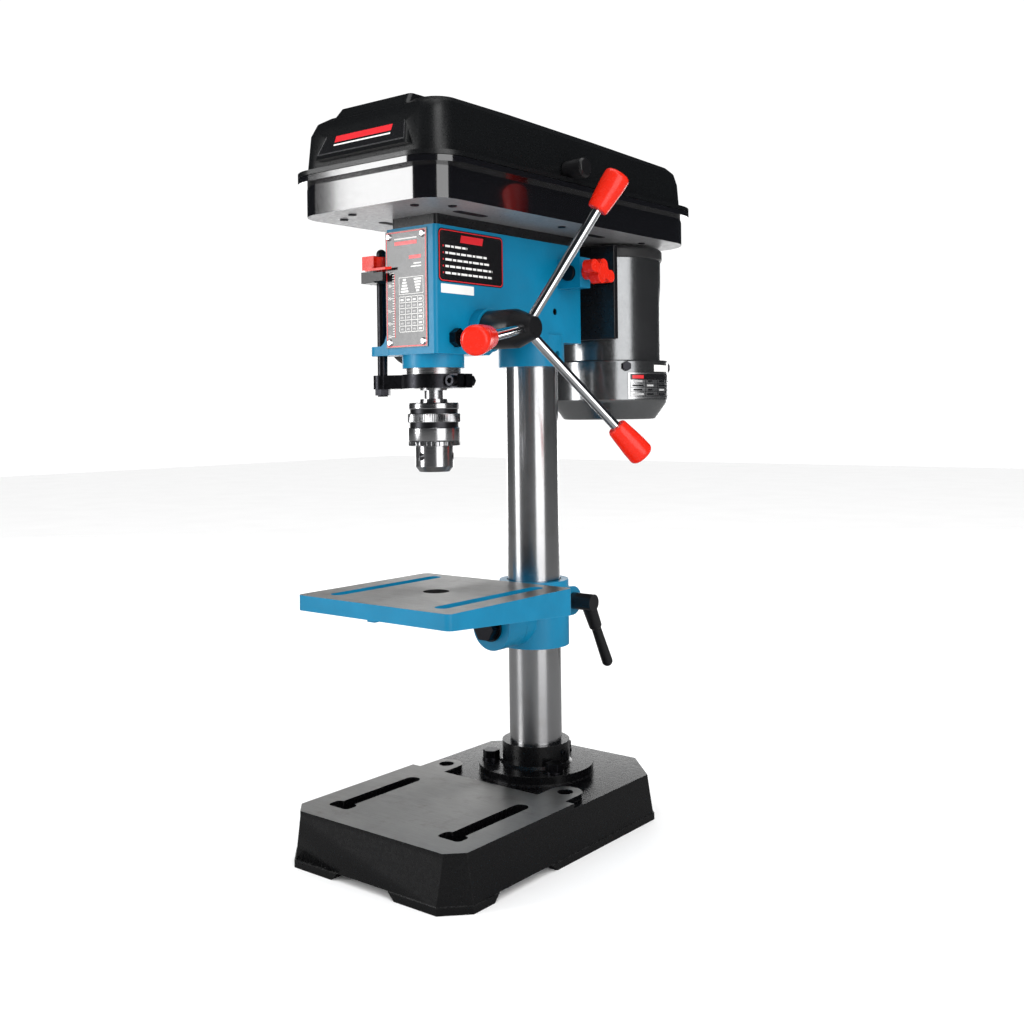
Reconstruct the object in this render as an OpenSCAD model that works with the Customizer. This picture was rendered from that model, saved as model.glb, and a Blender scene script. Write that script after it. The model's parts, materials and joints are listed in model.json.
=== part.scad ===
// Bench drill press: base, column, tilting table, head with quill feed, belt drive and motor.
// Origin: midway between the two bench bolt holes, on the bench plane. Front is -Y, up is +Z.

/* [Base] */
// Width of the base at the bench
base_w = 187; // [180:1:200]
// Depth of the base at the bench
base_d = 295; // [285:1:310]
// Height of the machined front pad
base_h = 42; // [40:1:46]
// Distance between the two bench bolt holes
bench_pitch = 130; // [124:1:134]
// Radius of a bench bolt hole
bench_hole_r = 6.5; // [5:0.5:7]

/* [Column and table] */
// Outer radius of the column tube
column_r = 23; // [22.5:0.1:23]
// Distance from the bench bolt line back to the column axis
column_y = 46; // [46:1:48]
// Height of the table's top face
table_z = 211; // [200:1:215]
// Width of the table, left to right
table_w = 161; // [150:1:165]
// Depth of the table, front to back
table_d = 150; // [140:1:150]
// Radius of the hole in the middle of the table
table_hole_r = 10.5; // [8:0.5:12]

/* [Head] */
// Distance from the column axis to the spindle axis
throat = 128; // [126:1:130]
// Half the width of the head casting
head_hw = 26.6; // [26:0.1:27]
// Height of the head casting's front lower edge
head_z0 = 399.5; // [399:0.5:400]
// Height of the head casting's shoulders
head_z1 = 499.2; // [499:0.1:500]

/* [Quill and feed] */
// Radius of the quill
quill_r = 22; // [21.5:0.1:22]
// Quill travel
quill_travel = 50; // [30:1:50]
// Rack and pinion module
gear_m = 1.25; // [1.2:0.05:1.3]
// Teeth on the feed pinion
pinion_teeth = 14; // [14:1:14]
// Angle between a feed arm and the plane that the arms turn in
arm_tilt = 23.5; // [15:0.5:26]
// Reach of a feed arm from the hub's centre to the knob's end
arm_len = 141.5; // [120:0.5:145]

/* [Chuck] */
// Radius of the chuck sleeve
chuck_r = 20.8; // [20.5:0.1:21.5]
// Angle between a jaw and the spindle axis
jaw_angle = 16; // [15:0.5:16]

/* [Belt drive] */
// Half the width of the belt housing
housing_hw = 75; // [72:1:76]
// Height of the housing floor's underside
housing_z0 = 508; // [508:0.5:509]
// Outer radius of the spindle pulley's middle step
spindle_step_r = 36; // [34:0.5:37]
// Outer radius of the motor pulley's middle step
motor_step_r = 22; // [21.5:0.5:23]

/* [Motor] */
// Distance from the column axis back to the motor axis
motor_back = 122; // [120:1:124]
// Radius of the motor can
can_r = 50.3; // [48:0.1:51]

/* [Hidden] */
$fn = 72;

// running clearance on a radius, and a free gap between parts that only pass each other
fit = 0.05;
gap = 0.4;
eps = 1;
// thickness of an outline that a hull joins to the next one
sheet = 0.1;

// axes
spindle_y = column_y - throat;
motor_y = column_y + motor_back;
pinion_pitch_r = gear_m * pinion_teeth / 2;
pinion_y = spindle_y + 29;
pinion_z = 419;

// base
base_y0 = 127 - base_d;
base_y1 = 127;
base_skirt_z = 6;
base_deck_z = 38;
base_deck_t = 9;
base_wall = 8;
pad_y1 = -19;
slot_x = 58.5;
slot_y0 = -131;
slot_y1 = -51;

// column and flange
flange_z0 = base_deck_z + 1;
flange_t = 7;
flange_r = 50.4;
collar_r = 29.6;
collar_top = 65;
collar_screw_z = 57;
flange_pcd_r = 40;
column_top = 480;

// table bracket
bracket_r = 30.5;
bracket_z0 = 149;
bracket_z1 = 206;
liner_t = 0.95;
bracket_bore_r = column_r + fit + liner_t + fit;
clamp_y = column_y + 42;
clamp_z = 182;
clamp_r = 5;
pivot_z = 172;
pivot_r = 20;
pivot_y = 10;
tilt_bolt_r = 6;

// table
table_y = spindle_y;
table_t = 8;
table_skirt_front = 12.2;
table_skirt_rear = 21.8;
table_wall = 6;
table_slot_x = 55.5;
table_slot_w = 12;

// head
head_y0 = -107.6;
head_y1 = 86.5;
head_rear_z0 = 413.6;
head_screw_z = [403, 440];
gib_y = spindle_y - 4;
gib_z = 412;
rod_x = 39;
rod_z = 473;
rod_r = 7;
lug_y0 = 50;
lug_y1 = 65;
star_y = 57.5;
depth_x = -40;
depth_y = -99;
depth_r = 4;
lug_z1 = head_z0 + 7.5;

// quill and spindle
quill_z0 = 373;
quill_z1 = 484;
spindle_r = 7.6;
bearing_r = 16;
nose_r = 24.75;
collar_z1 = 384;
collar_bolt_x = 29;
collar_bolt_z = (quill_z0 + collar_z1) / 2;
chuck_z0 = 306.8;
jaw_r = 2.6;

// drive
sleeve_r = 10;
sleeve_bearing_r = 17.5;
spline_r = 6.4;
spline_tip_r = 7.5;
spline_n = 6;
step_h = 11;
pulley_z0 = 514;
groove_depth = 6;
groove_half = 4.4;
groove_slope = 0.325;
steps = 5;
belt_step = 2;
step_change = 3.5;

// belt housing and lid
housing_y0 = -160;
housing_y1 = 209.3;
housing_corner = 25;
housing_rear_corner = 40;
housing_z1 = 537.6;
lip = 7;
lid_z0 = 538;
lid_wall = 2.5;
lid_slope = 1.2;
lid_top_z = 585.5;
lid_knob_y = 0;
lid_knob_z = 549.3;
hinge_x = -(housing_hw + lip + 5);
hinge_z = 539;

// motor
can_z0 = 400;
can_z1 = 495;
bell_r = 56.5;
bell_z0 = 345;
shaft_r = 7;

// ---- shared shapes ----

module at_column() { translate([0, column_y, 0]) children(); }
module at_spindle() { translate([0, spindle_y, 0]) children(); }
module at_motor() { translate([0, motor_y, 0]) children(); }
module along_x() { rotate([0, 90, 0]) children(); }
module along_y() { rotate([-90, 0, 0]) children(); }
module both_sides() { for (s = [-1, 1]) scale([s, 1, 1]) children(); }

// ring from z0 to z1
module ring(ro, ri, z0, z1) {
    translate([0, 0, z0]) difference() {
        cylinder(h = z1 - z0, r = ro);
        translate([0, 0, -eps]) cylinder(h = z1 - z0 + 2 * eps, r = ri);
    }
}

// upright cylinder from z0 to z1
module post(r, z0, z1, r2 = -1) {
    translate([0, 0, z0]) cylinder(h = z1 - z0, r1 = r, r2 = r2 < 0 ? r : r2);
}

// cylinder along X from x0 to x1, at y, z
module bar_x(r, x0, x1, y, z, r2 = -1) {
    translate([x0, y, z]) along_x() cylinder(h = x1 - x0, r1 = r, r2 = r2 < 0 ? r : r2);
}

// cylinder along Y from y0 to y1, at x, z
module bar_y(r, y0, y1, x, z) {
    translate([x, y0, z]) along_y() cylinder(h = y1 - y0, r = r);
}

// block given by its two corners
module block(a, b) { translate(a) cube(b - a); }

// hexagon across flats
module hex(af, h) { cylinder(h = h, r = af / sqrt(3), $fn = 6); }

// rectangle with round corners, from y0 to y1
module plate_2d(hw, y0, y1, r) {
    square_y = y1 - y0;
    translate([0, (y0 + y1) / 2]) union() {
        square([2 * (hw - r), square_y], center = true);
        square([2 * hw, square_y - 2 * r], center = true);
        for (i = [-1, 1], j = [-1, 1]) translate([i * (hw - r), j * (square_y / 2 - r)]) circle(r);
    }
}

// slot outline along Y
module slot_2d(w, y0, y1) {
    translate([-w / 2, y0 + w / 2]) square([w, y1 - y0 - w]);
    for (y = [y0 + w / 2, y1 - w / 2]) translate([0, y]) circle(w / 2);
}

// ---- base and column ----

// base outline with cut front and rear corners
module base_2d(hw, y0, y1, front, rear) {
    polygon([[-hw + front, y0], [hw - front, y0], [hw, y0 + front], [hw, y1 - rear],
        [hw - rear, y1], [-hw + rear, y1], [-hw, y1 - rear], [-hw, y0 + front]]);
}

module base_body(inset, z0, z1) {
    hw = base_w / 2 - inset;
    hull() {
        translate([0, 0, z0]) linear_extrude(sheet)
            base_2d(hw, base_y0 + inset, base_y1 - inset, 18.9, 36);
        translate([0, 0, z1 - sheet]) linear_extrude(sheet)
            base_2d(hw - 5, base_y0 + 6.2 + inset, base_y1 - 1.5 - inset, 12.5, 35);
    }
}

// raised pad that is machined flat, with an ear round each bench hole
module base_pad_2d() {
    intersection() {
        base_2d(base_w / 2 - 5.8, base_y0 + 7, base_y1 - 2, 12.5, 35);
        union() {
            translate([-base_w, base_y0]) square([2 * base_w, pad_y1 - base_y0]);
            both_sides() translate([bench_pitch / 2, 0]) {
                circle(14);
                translate([-14, pad_y1 - eps]) square([28, -pad_y1 + eps]);
            }
        }
    }
}

module base() {
    color([0.09, 0.09, 0.1]) difference() {
        union() {
            difference() {
                union() {
                    linear_extrude(base_skirt_z) base_2d(base_w / 2, base_y0, base_y1, 18.9, 36);
                    base_body(0.8, base_skirt_z, base_deck_z);
                }
                base_body(base_wall, -eps, base_deck_z - base_deck_t);
            }
            translate([0, 0, base_deck_z]) linear_extrude(base_h - base_deck_z) base_pad_2d();
            both_sides() translate([bench_pitch / 2, 0, 0]) cylinder(h = base_deck_z, r = 12);
            at_column() {
                post(flange_r + 0.6, base_deck_z - eps, flange_z0);
                flange_holes() post(10, base_deck_z - 20, base_deck_z - 1);
            }
        }
        both_sides() {
            translate([bench_pitch / 2, 0, -eps]) cylinder(h = base_h + 2 * eps, r = bench_hole_r);
            translate([slot_x, 0, base_deck_z - base_deck_t - eps]) linear_extrude(base_h) {
                slot_2d(13, slot_y0, slot_y1 + 6.5);
                translate([0, slot_y0]) plate_2d(11, -6.5, 6.5, 4);
            }
        }
        at_column() flange_holes() post(4, base_deck_z - 21, base_deck_z + 2);
        foot_cuts();
    }
}

// hollows in the rim that leave a foot at each corner
module foot_cuts() {
    rise = 6;
    translate([0, base_y1 + eps, 0]) along_foot() foot_2d(33, rise);
    translate([0, base_y0 + base_wall + 3, 0]) along_foot() foot_2d(33, rise);
    both_sides() translate([base_w / 2 - base_wall - 3, -88, 0]) rotate([0, 0, 90])
        along_foot(-1) foot_2d(38, rise);
}
module along_foot(dir = 1) {
    rotate([90, 0, 0]) translate([0, 0, dir > 0 ? 0 : -base_wall - 3 - eps])
        linear_extrude(base_wall + 3 + 2 * eps) children();
}
module foot_2d(half, rise) {
    polygon([[-half, -eps], [half, -eps], [half, 0], [half - rise, rise], [rise - half, rise],
        [-half, 0]]);
}

module flange_holes() {
    for (a = [-150, -30, 90]) rotate([0, 0, a]) translate([flange_pcd_r, 0, 0]) children();
}

module column_flange() {
    color([0.05, 0.05, 0.06]) at_column() difference() {
        union() {
            post(flange_r, flange_z0, flange_z0 + flange_t);
            post(collar_r, flange_z0, collar_top);
            post(collar_r + 2, flange_z0 + flange_t, flange_z0 + flange_t + 2, collar_r);
        }
        post(column_r, flange_z0 - eps, collar_top + eps);
        flange_holes() post(4.5, flange_z0 - eps, flange_z0 + flange_t + eps);
        bar_x(3, 0, collar_r + 2, 0, collar_screw_z);
    }
}

module flange_bolts() {
    top = flange_z0 + flange_t;
    color([0.12, 0.12, 0.13]) at_column() flange_holes() {
        post(4, base_deck_z - 18, top + 4);
        ring(8, 4, top, top + 1.6);
        translate([0, 0, top + 1.6]) hex(13, 6.4);
    }
}

module flange_set_screw() {
    color([0.15, 0.15, 0.16]) at_column() difference() {
        bar_x(3, column_r + 0.1, collar_r + 1.4, 0, collar_screw_z);
        translate([collar_r - 1.6, 0, collar_screw_z]) along_x() hex(3, 4);
    }
}

module column() {
    color([0.72, 0.73, 0.75]) at_column() ring(column_r, column_r - 3, flange_z0, column_top);
}

// ---- table ----

module bracket_liner() {
    color([0.55, 0.5, 0.4]) at_column() difference() {
        ring(column_r + fit + liner_t, column_r + fit, bracket_z0 + 1, bracket_z1 - 1);
        block([-1.5, 0, bracket_z0], [1.5, bracket_r, bracket_z1]);
    }
}

module table_bracket() {
    ear_z = [clamp_z - 13, clamp_z + 13];
    color([0.0, 0.42, 0.58]) difference() {
        union() {
            at_column() post(bracket_r, bracket_z0, bracket_z1);
            block([-12, column_y + 20, ear_z[0]], [12, clamp_y, ear_z[1]]);
            bar_x(13, -12, 12, clamp_y, clamp_z);
            bar_y(pivot_r, pivot_y, column_y - 20, 0, pivot_z);
        }
        at_column() post(bracket_bore_r, bracket_z0 - eps, bracket_z1 + eps);
        block([-1.5, column_y, bracket_z0 - eps], [1.5, clamp_y + 20, bracket_z1 + eps]);
        bar_x(clamp_r, -20, 20, clamp_y, clamp_z);
        bar_y(tilt_bolt_r, pivot_y - eps, column_y - bracket_bore_r - 1.5, 0, pivot_z);
    }
}

module clamp_stud() {
    color([0.12, 0.12, 0.13]) {
        bar_x(clamp_r, -15, 29, clamp_y, clamp_z);
        translate([-19, clamp_y, clamp_z]) along_x() hex(16, 7);
    }
}

module clamp_lever() {
    grip_x = 28;
    lean = 27.5;
    color([0.06, 0.06, 0.07]) difference() {
        union() {
            bar_x(7.5, 12 + gap, 35, clamp_y, clamp_z);
            translate([grip_x, clamp_y, clamp_z]) rotate([180 + lean, 0, 0]) {
                cylinder(h = 26, r1 = 6.6, r2 = 5.8);
                translate([0, 0, 26]) cylinder(h = 2, r1 = 5.8, r2 = 4.4);
                translate([0, 0, 28]) cylinder(h = 37, r1 = 4.4, r2 = 5);
                translate([0, 0, 65]) sphere(5);
            }
        }
        bar_x(clamp_r + fit, 12, 29 + gap, clamp_y, clamp_z);
    }
}

// side view of the table's rim, grown by -inset
module table_side_2d(inset, floor_z) {
    y0 = table_y - table_d / 2 + inset;
    y1 = table_y + table_d / 2 - inset;
    polygon([[y0, floor_z], [y1, floor_z], [y1, table_z - table_skirt_rear - (inset > 0 ? 20 : 0)],
        [y0, table_z - table_skirt_front - (inset > 0 ? 20 : 0)]]);
}
module across_table(w) {
    translate([-w / 2, 0, 0]) rotate([90, 0, 90]) linear_extrude(w) children();
}

module table() {
    y0 = table_y - table_d / 2;
    y1 = table_y + table_d / 2;
    color([0.0, 0.47, 0.66]) difference() {
        union() {
            intersection() {
                difference() {
                    across_table(table_w) table_side_2d(0, table_z);
                    across_table(table_w - 2 * table_wall)
                        table_side_2d(table_wall, table_z - table_t);
                }
                translate([0, 0, 100]) linear_extrude(200) plate_2d(table_w / 2, y0, y1, 5);
            }
            block([-4, y0 + 2, table_z - table_t - 6], [4, y1 - 2, table_z - table_t + 1]);
            bar_y(pivot_r, -14, pivot_y - 0.2, 0, pivot_z);
            block([-pivot_r, -14, pivot_z], [pivot_r, pivot_y - 0.2, 192]);
            block([-pivot_r, -14, 191], [pivot_r, y1 - 2, table_z - table_t + 1]);
            post_at_table(table_hole_r + 5, table_z - table_t - 6, table_z - 1);
        }
        post_at_table(table_hole_r, 180, table_z + eps);
        both_sides() translate([table_slot_x, table_y, table_z - 20]) linear_extrude(21)
            slot_2d(table_slot_w, -60, 64);
        bar_y(tilt_bolt_r + fit, -20, pivot_y + eps, 0, pivot_z);
    }
}
module post_at_table(r, z0, z1) { translate([0, table_y, 0]) post(r, z0, z1); }

module tilt_bolt() {
    color([0.12, 0.12, 0.13]) {
        bar_y(tilt_bolt_r, -16, column_y - bracket_bore_r - 2, 0, pivot_z);
        translate([0, -14.2 - 2.4, pivot_z]) along_y() difference() {
            cylinder(h = 2, r = 12);
            translate([0, 0, -eps]) cylinder(h = 4, r = tilt_bolt_r);
        }
        translate([0, -24.6, pivot_z]) along_y() hex(19, 8);
    }
}

// ---- head ----

module head_side_2d() {
    polygon([[head_y0, head_z0], [-44, head_z0], [-22, head_rear_z0], [head_y1, head_rear_z0],
        [head_y1, head_z1], [head_y0, head_z1]]);
}

module head_casting() {
    pad_x = head_hw - 2.6;
    color([0.0, 0.47, 0.66]) difference() {
        union() {
            intersection() {
                translate([-head_hw, 0, 0]) rotate([90, 0, 90])
                    linear_extrude(2 * head_hw) head_side_2d();
                translate([0, 0, 380]) linear_extrude(200)
                    plate_2d(head_hw, head_y0, head_y1, 3);
            }
            translate([0, 0, head_z1 - eps]) linear_extrude(housing_z0 - head_z1 + eps)
                plate_2d(pad_x, head_y0 + 4, head_y1 - 3, 3);
            at_spindle() post(nose_r, 389, head_z0 + eps);
            at_column() post(29, 392.5, head_rear_z0 + 6);
            bar_x(17.5, head_hw - eps, 36, pinion_y, pinion_z);
            bar_x(20, -32, -head_hw + eps, pinion_y, pinion_z);
            both_sides() block([head_hw - eps, lug_y0, 460], [51, lug_y1, 486]);
            depth_lug();
        }
        at_spindle() {
            post(quill_r + fit, 380, quill_z1 + 0.5);
            post(12.5, quill_z1, housing_z0 + eps);
            post(sleeve_bearing_r, 488, housing_z0 + eps);
        }
        at_column() post(column_r, 390, column_top + 1);
        block([-head_hw + 6, -36, 405], [head_hw - 6, column_y - 30, 492]);
        bar_x(7 + fit, 0, 37, pinion_y, pinion_z);
        bar_x(10.7, -33, 18, pinion_y, pinion_z);
        both_sides() bar_y(rod_r + fit, lug_y0 - eps, lug_y1 + eps, rod_x, rod_z);
        bar_x(4 + fit, rod_x, 52, star_y, rod_z);
        for (z = head_screw_z) bar_x(3, column_r - 2, 30, column_y, z);
        bar_x(3, 20, 30, gib_y, gib_z);
        translate([depth_x, depth_y, 0]) post(depth_r + fit, head_z0 - 2, lug_z1 + 2);
        plate_screw_places() bar_y(plate_screw_r, head_y0 - eps, head_y0 + plate_screw_len + 1, 0, 0);
        housing_screw_places() post(3, 490, housing_z0 + eps);
        block([-head_hw - eps, 2, 455], [-head_hw + 7, 18, 470]);
    }
}

// ear that guides the depth rod
module depth_lug() {
    translate([0, 0, head_z0]) linear_extrude(lug_z1 - head_z0) {
        translate([depth_x, depth_y]) circle(8.6);
        polygon([[depth_x, head_y0], [-head_hw + 2, head_y0], [-head_hw + 2, -82],
            [depth_x, depth_y + 8.6]]);
    }
    translate([0, head_y0 + 9, 0]) rotate([90, 0, 0]) linear_extrude(9)
        polygon([[-head_hw + 1, lug_z1 - 1], [-head_hw - 8, lug_z1 - 1],
            [-head_hw - 3, lug_z1 + 2.5], [-head_hw, lug_z1 + 9], [-head_hw + 1, lug_z1 + 9]]);
}

module housing_screw_places() {
    for (x = [-17, 17], y = [-24, 60]) translate([x, y, 0]) children();
}

module head_set_screws() {
    color([0.1, 0.1, 0.11]) for (z = head_screw_z) difference() {
        bar_x(3, column_r + 0.1, head_hw - 0.6, column_y, z);
        translate([head_hw - 2.6, column_y, z]) along_x() hex(3, 3);
    }
}

plate_x = [-26, 18.5];
plate_z = [405, 497];
plate_screw_r = 1.5;
plate_screw_len = 5;
module plate_screw_places() {
    for (x = [plate_x[0] + 4.2, plate_x[1] - 4.2], z = [plate_z[0] + 4.2, plate_z[1] - 4.2])
        translate([x, 0, z]) children();
}

module front_plate() {
    color([0.1, 0.1, 0.1]) difference() {
        block([plate_x[0], head_y0 - 0.8, plate_z[0]], [plate_x[1], head_y0, plate_z[1]]);
        plate_screw_places() bar_y(plate_screw_r, head_y0 - 3, head_y0 + 3, 0, 0);
    }
}

module plate_screws() {
    color([0.8, 0.8, 0.82]) plate_screw_places() {
        bar_y(plate_screw_r, head_y0 - 1, head_y0 + plate_screw_len, 0, 0);
        translate([0, head_y0 - 0.8, 0]) rotate([90, 0, 0]) difference() {
            cylinder(h = 1.6, r1 = 3, r2 = 2);
            block([-4, -0.35, 0.9], [4, 0.35, 3]);
        }
    }
}

module side_plate() {
    color([0.08, 0.08, 0.08]) translate([head_hw, 0, 0]) rotate([90, 0, 90])
        linear_extrude(0.4) translate([-65, 0]) plate_2d(39.5, 455, 496.5, 4);
}

module gib_screw() {
    color([0.1, 0.1, 0.11]) {
        difference() {
            bar_x(3, quill_r + 0.3, 37, gib_y, gib_z);
            translate([35.5, gib_y, gib_z]) along_x() hex(3, 3);
        }
        translate([head_hw, gib_y, gib_z]) along_x() difference() {
            hex(13, 6);
            translate([0, 0, -eps]) cylinder(h = 8, r = 3);
        }
    }
}

// ---- feed ----

// point on an involute of base circle rb at radius r, mirrored when s is -1
function inv_angle(rb, r) = let (c = acos(rb / r)) tan(c) * 180 / PI - c;
function tooth_half(r, rp, rb, back) = 90 / pinion_teeth - back / rp * 90 / PI
    + inv_angle(rb, rp) - inv_angle(rb, max(r, rb));

module pinion_2d(back) {
    rp = pinion_pitch_r;
    rb = rp * cos(20);
    radii = [for (k = [0 : 6]) rb + (rp + gear_m - rb) * k / 6];
    root = rp - 1.25 * gear_m;
    foot = root - 1.5;
    foot_half = tooth_half(rb, rp, rb, back) + 2;
    rotate(180) circle(root);
    for (i = [0 : pinion_teeth - 1]) rotate(180 + i * 360 / pinion_teeth) polygon(concat(
        [[foot * cos(foot_half), -foot * sin(foot_half)]],
        [for (r = radii) let (a = tooth_half(r, rp, rb, back)) [r * cos(a), -r * sin(a)]],
        [for (k = [6 : -1 : 0]) let (r = radii[k], a = tooth_half(r, rp, rb, back))
            [r * cos(a), r * sin(a)]],
        [[foot * cos(foot_half), foot * sin(foot_half)]]));
}

module pinion_shaft() {
    color([0.6, 0.6, 0.62]) {
        translate([-11, pinion_y, pinion_z]) rotate([90, 0, 90]) linear_extrude(22)
            pinion_2d(0.25);
        bar_x(7, 11, 60, pinion_y, pinion_z);
        bar_x(7, -58, -11, pinion_y, pinion_z);
    }
}

// the three arm directions, starting at the hub
module arm_places() {
    translate([71, pinion_y, pinion_z]) for (k = [0 : 2])
        rotate([-(22.2 + 120 * k), 0, 0]) rotate([0, arm_tilt, 0]) children();
}

module feed_hub() {
    color([0.05, 0.05, 0.06]) difference() {
        union() {
            bar_x(15.5, 36 + gap, 63, pinion_y, pinion_z);
            bar_x(15.5, 63, 77, pinion_y, pinion_z, 10);
            bar_x(10, 77, 81, pinion_y, pinion_z, 8.5);
        }
        bar_x(7, 36, 60, pinion_y, pinion_z);
        arm_places() post(4, 7, 30);
    }
}

module feed_arms() {
    color([0.85, 0.86, 0.88]) arm_places() post(4, 7, arm_len - 18);
}

module feed_knobs() {
    color([0.9, 0.16, 0.06]) arm_places() translate([0, 0, arm_len]) rotate([180, 0, 0])
        difference() {
            rotate_extrude() polygon(knob_outline());
            translate([0, 0, 18]) cylinder(h = 40, r = 4);
        }
}
// half outline of a knob from its domed end to its neck
function knob_outline() = concat([[0, 0]],
    [for (a = [0 : 15 : 90]) [6.5 + 4 * sin(a), 4 - 4 * cos(a)]],
    [[10.3, 12], [9.2, 24], [8.4, 32], [7.6, 33.5], [0, 33.5]]);

module spring_cup() {
    color([0.1, 0.1, 0.11]) translate([0, pinion_y, pinion_z]) along_x() {
        difference() {
            post(25, -56, -32);
            post(22.5, -54, -35);
            post(7 + fit, -60, -30);
        }
    }
}

spring_turns = 4.5;
module return_spring() {
    turn_steps = 20;
    last = spring_turns * turn_steps;
    color([0.3, 0.32, 0.36]) translate([-51, pinion_y, pinion_z]) rotate([90, 0, 90])
        linear_extrude(13) polygon(concat(
            [for (i = [0 : last]) spiral(7.9 + 14.5 * i / last, i * 360 / turn_steps)],
            [for (i = [last : -1 : 0]) spiral(7.1 + 14.5 * i / last, i * 360 / turn_steps)]));
}
function spiral(r, a) = [r * cos(a), r * sin(a)];

// ---- quill ----

// rack tooth space, pointing into the quill
module rack_spaces() {
    pitch = PI * gear_m;
    depth = 1.25 * gear_m;
    mid = pitch / 4 + 0.12;
    line_y = pinion_y - pinion_pitch_r;
    top = 1.5;
    for (k = [-4 : 15]) translate([-14, line_y, pinion_z + k * pitch])
        rotate([90, 0, 90]) linear_extrude(28) polygon([
            [-depth, -mid + depth * tan(20)], [top, -mid - top * tan(20)],
            [top, mid + top * tan(20)], [-depth, mid - depth * tan(20)]]);
    translate([0, line_y + 0.95, 0]) block([-14, 0, 401], [14, 6, 482]);
}

module quill() {
    color([0.7, 0.71, 0.73]) difference() {
        at_spindle() post(quill_r, quill_z0, quill_z1);
        at_spindle() {
            post(10.5, quill_z0 - eps, quill_z1 + eps);
            post(bearing_r, quill_z0 - eps, quill_z0 + 15);
            post(bearing_r, 470, quill_z1 + eps);
        }
        rack_spaces();
    }
}

module spindle_bearings() {
    color([0.6, 0.62, 0.65]) at_spindle() for (z = [376, 470])
        ring(bearing_r, spindle_r + fit, z, z + 12);
}

module quill_collar() {
    arm = [depth_x, depth_y - spindle_y];
    color([0.08, 0.08, 0.09]) at_spindle() difference() {
        union() {
            post(25.5, quill_z0, collar_z1);
            block([20, -9, quill_z0], [33, 9, collar_z1]);
            rotate([0, 0, atan2(arm.y, arm.x)])
                block([22, -6.6, quill_z0], [norm(arm), 6.6, collar_z1]);
            translate([arm.x, arm.y, 0]) post(7.5, quill_z0, collar_z1);
        }
        post(quill_r, quill_z0 - eps, collar_z1 + eps);
        block([20, -1.5, quill_z0 - eps], [40, 1.5, collar_z1 + eps]);
        bar_y(2.5, -20, 20, collar_bolt_x, collar_bolt_z);
        translate([arm.x, arm.y, 0]) post(depth_r, quill_z0 - eps, collar_z1 + eps);
    }
}

module collar_bolt() {
    color([0.13, 0.13, 0.14]) at_spindle() {
        bar_y(2.5, -10, 11, collar_bolt_x, collar_bolt_z);
        difference() {
            bar_y(4.3, -14, -9, collar_bolt_x, collar_bolt_z);
            translate([collar_bolt_x, -14.5, collar_bolt_z]) along_y() hex(4, 3);
        }
        translate([collar_bolt_x, 9, collar_bolt_z]) along_y() difference() {
            hex(8, 4);
            translate([0, 0, -eps]) cylinder(h = 6, r = 2.5);
        }
    }
}

module depth_rod() {
    color([0.06, 0.06, 0.07]) translate([depth_x, depth_y, 0]) {
        post(depth_r, 367, 482);
        translate([0, 0, 482]) sphere(depth_r);
        translate([0, 0, 368]) difference() {
            hex(11, 5);
            translate([0, 0, -eps]) cylinder(h = 7, r = depth_r);
        }
    }
}

module depth_stop() {
    z0 = lug_z1 + quill_travel + 0.5;
    z1 = z0 + 9;
    color([0.06, 0.06, 0.07]) difference() {
        union() {
            block([depth_x - 7, depth_y - 16, z0], [depth_x + 7, depth_y + 7, z1]);
            block([depth_x + 4, depth_y - 16, z0 + 1], [depth_x + 17, depth_y - 12.6, z1 - 1]);
            bar_x(2.6, depth_x - 12, depth_x - 6, depth_y, z0 + 4.5);
            bar_x(4, depth_x - 12, depth_x - 9.5, depth_y, z0 + 4.5);
        }
        translate([depth_x, depth_y, 0]) post(depth_r + fit, z0 - eps, z1 + eps);
    }
}

module depth_pointer() {
    z0 = lug_z1 + quill_travel + 10.2;
    color([0.85, 0.08, 0.05]) translate([depth_x, depth_y, 0]) difference() {
        union() {
            post(6.5, z0, z0 + 12);
            block([-13, -9, z0 + 2], [0, -4, z0 + 13]);
            block([-4, -14.5, z0], [4, 0, z0 + 3]);
            translate([0, 0, z0]) linear_extrude(2)
                polygon([[0, -14.5], [18, -14.5], [24, -13], [18, -12], [0, -11]]);
        }
        post(depth_r, z0 - eps, z0 + 20);
    }
}

// ---- spindle and chuck ----

module spline_2d(r, tip, w) {
    circle(r);
    for (i = [0 : spline_n - 1]) rotate(i * 360 / spline_n)
        translate([0, -w / 2]) square([tip, w]);
}

module spindle() {
    color([0.75, 0.76, 0.78]) at_spindle() {
        post(spindle_r, 352, 486);
        post(11, 371.5, 375.9);
        translate([0, 0, 486]) linear_extrude(84) spline_2d(spline_r, spline_tip_r, 3);
    }
}

// jaws: round rods on slanted axes, each cut to a wedge that fits a third of the circle
jaw_open_r = 5;
jaw_foot_x = jaw_open_r + 1.2;
jaw_foot_z = chuck_z0 + 1.2;
jaw_len = 34;
module jaw_place(k) {
    at_spindle() rotate([0, 0, 90 + 120 * k]) translate([jaw_foot_x, 0, jaw_foot_z])
        rotate([0, jaw_angle, 0]) children();
}

module chuck_body() {
    color([0.7, 0.71, 0.73]) difference() {
        at_spindle() {
            post(12, 358, 364.5, 11);
            post(17.5, 350, 358);
            post(15.6, 327, 350);
            post(15.2, 311, 327);
            post(12, chuck_z0, 311, 15.2);
        }
        at_spindle() {
            post(spindle_r, 352, 370);
            post(6, chuck_z0 - eps, 346);
            for (k = [0 : 2]) rotate([0, 0, 30 + 120 * k]) bar_x(3, 9, 20, 0, 319);
        }
        for (k = [0 : 2]) jaw_place(k) translate([0, 0, -12])
            cylinder(h = jaw_len + 24, r = jaw_r + fit);
    }
}

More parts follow.
